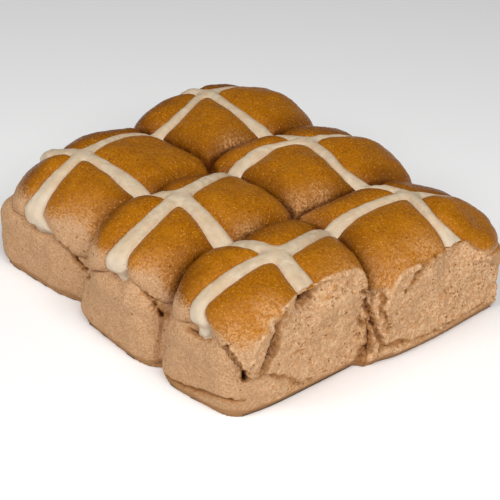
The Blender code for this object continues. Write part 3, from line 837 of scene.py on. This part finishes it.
# %% Colours and nodes
# colours as they look, in red, green and blue from 0 to 255
COLOURS = {
    "glaze deep": (144, 81, 0), "glaze amber": (166, 101, 2), "glaze bright": (184, 116, 6),
    "glaze shaded": (112, 58, 0), "glint": (226, 168, 72), "fleck": (104, 54, 0),
    "glaze worn": (208, 154, 100), "side dull": (174, 129, 87), "side": (188, 146, 107),
    "side floury": (214, 176, 138), "side speck": (146, 102, 62), "crease": (72, 28, 0),
    "bran": (84, 44, 6), "crumb dull": (190, 141, 96), "crumb light": (230, 193, 154),
    "crumb woolly": (222, 188, 148), "crumb toasted": (182, 134, 90), "strand": (182, 118, 50),
    "hole": (146, 88, 22), "base crust": (166, 122, 80), "tear rim shade": (148, 92, 26),
    "tear deep shade": (72, 29, 5), "paste dull": (198, 176, 146), "paste": (218, 200, 172),
    "paste toasted": (212, 176, 136), "paste grain": (190, 164, 132), "bubble": (172, 144, 110),
    "paste foot light": (212, 197, 176),
}


def colour(name):
    """A colour of the table as a shader socket takes it."""
    def linear(v):
        v /= 255
        return v / 12.92 if v <= 0.04045 else ((v + 0.055) / 1.055) ** 2.4
    return (*map(linear, COLOURS[name]), 1)


def material(name, roughness, specular):
    made = bpy.data.materials.new(name)
    made.use_nodes = True
    shader = made.node_tree.nodes["Principled BSDF"]
    shader.inputs["Roughness"].default_value = roughness
    shader.inputs["Specular IOR Level"].default_value = specular
    return made, made.node_tree, shader


def node(tree, kind, inputs=(), **settings):
    """A node with some of its inputs and settings, where an input takes a link or a plain value."""
    made = tree.nodes.new(kind)
    for key, value in settings.items():
        setattr(made, key, value)
    for key, value in dict(inputs).items():
        plug(tree, value, made.inputs[key])
    return made


def plug(tree, value, socket):
    """A link into a socket, or a plain value on it."""
    if isinstance(value, bpy.types.NodeSocket):
        tree.links.new(value, socket)
    else:
        socket.default_value = value


def mixed(tree, factor, a, b):
    mix = node(tree, "ShaderNodeMix", data_type="RGBA", clamp_factor=True)
    # the node holds a socket of each name for every kind of value, and only those of one kind are on
    for name, value in (("Factor", factor), ("A", a), ("B", b)):
        plug(tree, value, next(s for s in mix.inputs if s.name == name and s.enabled))
    return next(s for s in mix.outputs if s.enabled)


def maths(tree, operation, a, b):
    return node(tree, "ShaderNodeMath", {0: a, 1: b}, operation=operation).outputs[0]


def over(tree, under, mask, share, top):
    """A colour laid over another one where a mask says, for a share of its strength."""
    return mixed(tree, maths(tree, "MULTIPLY", mask, share), under, top)


def ranged(tree, value, low, high, to_low=0.0, to_high=1.0):
    """A value brought from one range to another along a smooth step."""
    return node(tree, "ShaderNodeMapRange", {"Value": value, "From Min": low, "From Max": high,
                                             "To Min": to_low, "To Max": to_high},
                interpolation_type="SMOOTHSTEP").outputs["Result"]


# %% [markdown]
# ## Mottle and pits
# Baked dough is never one tone. Two effects make most of it, in many sizes: soft blotches, and
# round specks or holes. Each is built once as a node group with named inputs and placed in both
# materials with its own values. A copy of the nodes for each use would do the same, but a change
# would then have to be made a dozen times.

# %% Shared effects as node groups
def new_group(name, **numbers):
    """A group that takes a place and some numbers and gives a mask; its nodes come next."""
    group = bpy.data.node_groups.new(name, "ShaderNodeTree")
    group.interface.new_socket("Vector", in_out="INPUT", socket_type="NodeSocketVector")
    for title, default in numbers.items():
        title = title.replace("_", " ")
        socket = group.interface.new_socket(title, in_out="INPUT", socket_type="NodeSocketFloat")
        socket.default_value = default
    group.interface.new_socket("Mask", in_out="OUTPUT", socket_type="NodeSocketFloat")
    return group, node(group, "NodeGroupInput").outputs, node(group, "NodeGroupOutput").inputs


def effect(tree, group, vector, **numbers):
    inputs = {title.replace("_", " "): value for title, value in numbers.items()}
    return node(tree, "ShaderNodeGroup", {"Vector": vector, **inputs}, node_tree=group).outputs["Mask"]


# mottle: soft blotches of one size, as a mask with its contrast
MOTTLE, given, result = new_group("mottle", Size_mm=2.0, Contrast=0.2, Middle=0.5)
per_metre = maths(MOTTLE, "DIVIDE", 1000.0, given["Size mm"])
noise = node(MOTTLE, "ShaderNodeTexNoise", {"Vector": given["Vector"], "Scale": per_metre, "Detail": 5,
                                            "Roughness": 0.72})
low = maths(MOTTLE, "SUBTRACT", given["Middle"], given["Contrast"])
high = maths(MOTTLE, "ADD", given["Middle"], given["Contrast"])
plug(MOTTLE, ranged(MOTTLE, noise.outputs["Fac"], low, high), result["Mask"])

# pits: scattered round holes or specks of about one size; a cell's own tone says how big its one is
PITS, given, result = new_group("pits", Spacing_mm=2.0, Size=0.25, Scatter=0.5)
per_metre = maths(PITS, "DIVIDE", 1000.0, given["Spacing mm"])
cells = node(PITS, "ShaderNodeTexVoronoi", {"Vector": given["Vector"], "Scale": per_metre}, feature="F1")
tone = node(PITS, "ShaderNodeSeparateColor", {"Color": cells.outputs["Color"]}).outputs[0]
radius = maths(PITS, "MULTIPLY", given["Size"], ranged(PITS, tone, given["Scatter"], 1.0))
share = maths(PITS, "DIVIDE", cells.outputs["Distance"], maths(PITS, "MAXIMUM", radius, 0.001))
plug(PITS, ranged(PITS, share, 1.0, 0.55), result["Mask"])
print("node groups:", MOTTLE.name, PITS.name)

# %% [markdown]
# ## Crust and crumb
# The top was brushed with glaze and browned. Under the fold the dough is pale, matt and floury,
# and the break is open crumb. All of it is one skin, so it is one material: a brown coat and a
# pale coat are mixed by the bake, and the painted shade of the creases, the crumb, the painted
# shade of the tears and the base are laid over them by their masks. Separate materials on the
# faces would meet in hard, stepped borders.

# %% Two coats: glazed brown and pale side
crust_look, tree, shader = material("crust", 0.42, 0.09)
where = node(tree, "ShaderNodeTexCoord").outputs["Object"]
masks = {name: node(tree, "ShaderNodeAttribute", attribute_name=name).outputs["Fac"] for name in MASKS}

broad = effect(tree, MOTTLE, where, Size_mm=9.0, Contrast=0.2)
patch = effect(tree, MOTTLE, where, Size_mm=3.2, Contrast=0.22)
fine = effect(tree, MOTTLE, where, Size_mm=1.1, Contrast=0.07)
grit = effect(tree, MOTTLE, where, Size_mm=0.8, Contrast=0.1)
painted_glints = effect(tree, PITS, where, Spacing_mm=1.0, Size=0.4, Scatter=0.25)
flecks = effect(tree, PITS, where, Spacing_mm=1.3, Size=0.4, Scatter=0.35)
brown = mixed(tree, broad, colour("glaze deep"), colour("glaze amber"))
brown = over(tree, brown, fine, 0.55, colour("glaze bright"))
# painted shade on slopes away from the lamps and beside the creases
brown = over(tree, brown, masks["shade"], 0.8, colour("glaze shaded"))
# painted glints: small light specks where the glaze would catch the lamps
brown = over(tree, brown, painted_glints, 0.5, colour("glint"))
brown = over(tree, brown, flecks, 0.5, colour("fleck"))
# the thin, pale glaze with its painted sheen is spotted
spots = effect(tree, MOTTLE, where, Size_mm=1.2, Contrast=0.05, Middle=0.51)
spots = maths(tree, "ADD", maths(tree, "MULTIPLY", spots, 0.8), 0.2)
brown = over(tree, brown, maths(tree, "MULTIPLY", masks["pale_glaze_and_sheen"], spots), 0.75, colour("glaze worn"))

flour = effect(tree, MOTTLE, where, Size_mm=0.85, Contrast=0.08)
specks = effect(tree, PITS, where, Spacing_mm=1.7, Size=0.34, Scatter=0.4)
pale = mixed(tree, patch, colour("side dull"), colour("side"))
pale = over(tree, pale, flour, 0.6, colour("side floury"))
pale = over(tree, pale, specks, 0.4, colour("side speck"))

# the bake eases from pale to brown through a speckled edge
baked = maths(tree, "ADD", masks["bake_and_shade_beside_creases"], maths(tree, "MULTIPLY", maths(tree, "SUBTRACT", grit, 0.5), 0.6))
baked = ranged(tree, baked, 0.15, 0.85)
skin = mixed(tree, baked, pale, brown)
# painted shade in the creases between caps
skin = over(tree, skin, masks["painted_crease_shade"], 0.95, colour("crease"))
bran = effect(tree, PITS, where, Spacing_mm=3.4, Size=0.2, Scatter=0.55)
skin = over(tree, skin, bran, 0.6, colour("bran"))

# %% Crumb, base and tears
fibre = effect(tree, MOTTLE, where, Size_mm=1.1, Contrast=0.1)
woolly = effect(tree, MOTTLE, where, Size_mm=4.5, Contrast=0.14)
# the crumb tore in strands that rise toward +Y
strand_way = node(tree, "ShaderNodeMapping", {"Vector": where, "Rotation": (math.radians(34), 0, 0),
                                              "Scale": (1, 2.6, 1)}, vector_type="TEXTURE")
strands = effect(tree, MOTTLE, strand_way.outputs["Vector"], Size_mm=1.3, Contrast=0.06, Middle=0.55)
holes = effect(tree, PITS, where, Spacing_mm=1.6, Size=0.42, Scatter=0.4)
inner = mixed(tree, fibre, colour("crumb dull"), colour("crumb light"))
inner = over(tree, inner, woolly, 0.3, colour("crumb woolly"))
inner = over(tree, inner, patch, 0.25, colour("crumb toasted"))
inner = over(tree, inner, strands, 0.5, colour("strand"))
# painted shade in the pores: the holes of the crumb are darker
inner = over(tree, inner, holes, 0.75, colour("hole"))
skin = mixed(tree, masks["crumb"], skin, inner)
skin = over(tree, skin, masks["base_crust"], 0.7, colour("base crust"))
# painted shade in the tears: amber round them, dark at the bottom
skin = over(tree, skin, ranged(tree, masks["tear"], 0.0, 0.5), 0.6, colour("tear rim shade"))
skin = over(tree, skin, ranged(tree, masks["tear"], 0.5, 0.88), 0.92, colour("tear deep shade"))
plug(tree, skin, shader.inputs["Base Color"])

# %% Gloss and orange peel
# only the glazed skin is glossy
dull = maths(tree, "MAXIMUM", masks["crumb"], maths(tree, "SUBTRACT", 1.0, baked))
dull = maths(tree, "MAXIMUM", dull, masks["painted_crease_shade"])
plug(tree, ranged(tree, dull, 0.0, 1.0, 0.26, 0.85), shader.inputs["Roughness"])

# small round swellings of about 1.2 mm, with a finer roughness on them and holes in the crumb
peel = node(tree, "ShaderNodeTexVoronoi", {"Vector": where, "Scale": 850, "Smoothness": 0.5},
            feature="SMOOTH_F1")
rough = node(tree, "ShaderNodeTexNoise", {"Vector": where, "Scale": 1300, "Detail": 3})
relief = maths(tree, "SUBTRACT", rough.outputs["Fac"], maths(tree, "MULTIPLY", holes, masks["crumb"]))
relief = maths(tree, "SUBTRACT", relief, maths(tree, "MULTIPLY", peel.outputs["Distance"], 0.8))
bump = node(tree, "ShaderNodeBump", {"Height": relief, "Strength": 0.9, "Distance": 0.4 * MM})
plug(tree, bump.outputs["Normal"], shader.inputs["Normal"])
slab.data.materials.clear()
slab.data.materials.append(crust_look)
only(slab)
bpy.ops.object.shade_smooth()
print(crust_look.name, "has", len(tree.nodes), "nodes")

# %% [markdown]
# ## Baked paste
# Flour and water bake to a matt cream, toasted in soft patches, with a few open bubbles. The thick
# feet on the open side are painted lighter than the thin lines on top, as light falls on them, which
# height alone can tell apart.

# %% Cream, toast and bubbles
paste_look, tree, shader = material("paste", 0.62, 0.35)
where = node(tree, "ShaderNodeTexCoord").outputs["Object"]
clouds = effect(tree, MOTTLE, where, Size_mm=5.0, Contrast=0.2)
toasted = effect(tree, MOTTLE, where, Size_mm=8.0, Contrast=0.1, Middle=0.54)
grains = effect(tree, MOTTLE, where, Size_mm=1.2, Contrast=0.14)
bubbles = effect(tree, PITS, where, Spacing_mm=3.2, Size=0.2, Scatter=0.5)
height_up = node(tree, "ShaderNodeSeparateXYZ", {0: where}).outputs["Z"]
painted_light_feet = ranged(tree, height_up, 50 * MM, 43 * MM)
cream = mixed(tree, clouds, colour("paste dull"), colour("paste"))
cream = over(tree, cream, toasted, 0.5, colour("paste toasted"))
cream = over(tree, cream, grains, 0.3, colour("paste grain"))
cream = over(tree, cream, bubbles, 0.35, colour("bubble"))
# painted light: lower on the sides the paste is made lighter
cream = over(tree, cream, painted_light_feet, 0.5, colour("paste foot light"))
plug(tree, cream, shader.inputs["Base Color"])
dimples = effect(tree, MOTTLE, where, Size_mm=1.6, Contrast=0.4)
bump = node(tree, "ShaderNodeBump", {"Height": maths(tree, "SUBTRACT", dimples, bubbles), "Strength": 0.5,
                                     "Distance": 0.3 * MM})
plug(tree, bump.outputs["Normal"], shader.inputs["Normal"])
paste.data.materials.clear()
paste.data.materials.append(paste_look)
print(paste_look.name, "has", len(tree.nodes), "nodes")

# %% [markdown]
# ## Six buns
# The batch pulls apart along its creases, so the slab is cut there into one piece per bun. The
# cuts are flat planes fitted to the creases by least squares: each piece is then a closed solid on
# its own, which the slab cut along a wandering crease wouldn't be without much patching.


# %% Planes through the creases
MIDWAY = 0.6        # a corner is on a crease when it is as near to both caps, but for this much
NEAR_CAPS = 4       # and this near to them
CREASE_FOOT = 26    # and this high up


def plane_between(pairs, along):
    """A point and a normal for the upright plane that fits the creases between pairs of caps."""
    found = []
    for pair in pairs:
        both = [list(BUNS).index(name) for name in pair]
        near, others = cap_gap[both], np.delete(cap_gap, both, axis=0).min(0)
        farther = near.max(0)
        found.append(co[(np.abs(near[0] - near[1]) < MIDWAY) & (farther < others) & (farther < NEAR_CAPS)
                        & (height > CREASE_FOOT)])
    found = np.concatenate(found)
    slope, start = np.polyfit(found[:, along], found[:, 1 - along], 1)
    point, normal = np.zeros(3), np.zeros(3)
    point[1 - along], normal[1 - along], normal[along] = start, 1, -slope
    return point * MM, normal / np.linalg.norm(normal)


COLUMNS = [plane_between([("a", "e"), ("b", "c")], 1), plane_between([("e", "f"), ("c", "d")], 1)]
ROWS = {("b", "a"): 0, ("c", "e"): 1, ("d", "f"): 2}
for point, normal in COLUMNS:
    lean = math.degrees(math.asin(normal[1]))
    print("column cut at x =", round(point[0] / MM, 1), "leaning", round(lean, 1), "degrees")


def cut(item, point, normal, keep_far):
    """One side of a plane cut away, and the cut closed with a flat face in triangles."""
    only(item)
    bpy.ops.object.mode_set(mode="EDIT")
    bpy.ops.mesh.select_all(action="SELECT")
    # the usual threshold of 0.1 mm would weld the fine net where it lies close to the plane
    bpy.ops.mesh.bisect(plane_co=point, plane_no=normal, use_fill=True, clear_inner=keep_far,
                        clear_outer=not keep_far, threshold=1e-7)
    bpy.ops.mesh.mark_sharp()
    bpy.ops.mesh.faces_shade_flat()
    bpy.ops.mesh.quads_convert_to_tris(ngon_method="BEAUTY")
    bpy.ops.object.mode_set(mode="OBJECT")


def copy_of(item):
    only(item)
    bpy.ops.object.duplicate()
    return bpy.context.object


# %% Cut the slab
middle = copy_of(slab)
last = copy_of(slab)
first = slab
cut(first, *COLUMNS[0], keep_far=False)
cut(middle, *COLUMNS[0], keep_far=True)
cut(middle, *COLUMNS[1], keep_far=False)
cut(last, *COLUMNS[1], keep_far=True)
buns = {}
for (low_bun, high_bun), column in ROWS.items():
    near_row = (first, middle, last)[column]
    far_row = copy_of(near_row)
    point, normal = plane_between([(low_bun, high_bun)], 0)
    cut(near_row, point, normal, keep_far=False)
    cut(far_row, point, normal, keep_far=True)
    buns[low_bun], buns[high_bun] = near_row, far_row
for name, bun in buns.items():
    bun.name = f"bun_{name}"
    bun.data.name = bun.name
    used_edges = np.empty(len(bun.data.loops), np.int32)
    bun.data.loops.foreach_get("edge_index", used_edges)
    uses = np.bincount(used_edges, minlength=len(bun.data.edges))
    triangles = sum(len(polygon.vertices) - 2 for polygon in bun.data.polygons)
    print(bun.name, triangles, "triangles, open edges:", int((uses == 1).sum()),
          "shared by more:", int((uses > 2).sum()))

# %% [markdown]
# ## Onto the frame
# The tables measure from the crossing of the middle rows, and the CAD part has its box centred on
# the origin, so the finished meshes move by the small step between the two. Every piece then rides
# on the one body. The six buns stand in for the CAD bread, and the ribbon for its crosses.

# %% Put the batch in the middle
CENTRE = np.array((-1.5, -2.2, 0)) * MM
for item in (*buns.values(), paste):
    put_places(item, places(item) + CENTRE)

# %% Ride on the frame
for bun in buns.values():
    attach(bun, "root")
    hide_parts("bread")
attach(paste, "root")
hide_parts("piped_crosses")

# %% [markdown]
# ## Camera, lights and floor
# The batch is seen from over its torn corner through a long lens, which keeps the near buns from
# looking bigger than the far ones. Two large soft lamps and a grey world light it, the brighter
# lamp over the torn end, and a white floor catches the soft shadow under it.

# %% Camera
AZIMUTH, ELEVATION = 49.4, 30.4                # round the batch from -Y, and up, in degrees
DISTANCE = 0.75
AIM = Vector((0.007, -0.001, 0.02))            # what the camera looks at, before the batch is centred
STEP_RIGHT, STEP_DOWN = 0.0032, 0.0020         # and how far it then steps aside


def direction(azimuth, elevation):
    """The way from the batch to a place so many degrees round it from -Y, and up."""
    a, e = math.radians(azimuth), math.radians(elevation)
    return Vector((math.sin(a) * math.cos(e), -math.cos(a) * math.cos(e), math.sin(e)))


back = direction(AZIMUTH, ELEVATION)
right = Vector((math.cos(math.radians(AZIMUTH)), math.sin(math.radians(AZIMUTH)), 0))
up = back.cross(right)
eye = AIM + Vector(CENTRE) + DISTANCE * back + STEP_RIGHT * right - STEP_DOWN * up
bpy.ops.object.camera_add()
camera = bpy.context.object
camera.name = "camera"
camera.matrix_world = Matrix.Translation(eye) @ Matrix((right, up, back)).transposed().to_4x4()
camera.data.lens = 120.24
camera.data.sensor_width = 36
camera.data.clip_start = 0.01
bpy.context.scene.camera = camera
print("camera at", [round(v, 3) for v in eye])


# %% Lights
def softbox(name, azimuth, elevation, distance, size, watts):
    towards = direction(azimuth, elevation)
    bpy.ops.object.light_add(type="AREA", location=towards * distance)
    lamp = bpy.context.object
    lamp.name = name
    lamp.rotation_mode = "QUATERNION"
    lamp.rotation_quaternion = towards.to_track_quat("Z", "Y")
    lamp.data.size = size
    lamp.data.energy = watts


softbox("key", azimuth=5, elevation=48, distance=1.2, size=0.7, watts=7.7)
softbox("fill", azimuth=75, elevation=45, distance=1.2, size=0.7, watts=9.4)

STUDIO_GREY = 0.13
world = bpy.data.worlds.new("studio")
world.use_nodes = True
world.node_tree.nodes["Background"].inputs["Color"].default_value = (*[STUDIO_GREY] * 3, 1)
bpy.context.scene.world = world
bpy.context.scene.view_settings.view_transform = "Standard"

# %% Floor
FLOOR_SIZE = 6
FLOOR_DROP = 0.2 * MM  # just under the base, so that the two never share a plane
bpy.ops.mesh.primitive_plane_add(size=FLOOR_SIZE, location=(0, 0, -FLOOR_DROP))
floor = bpy.context.object
floor.name = "floor"
floor_look, tree, shader = material("floor", 0.9, 0.1)
shader.inputs["Base Color"].default_value = (1, 1, 1, 1)
floor.data.materials.append(floor_look)
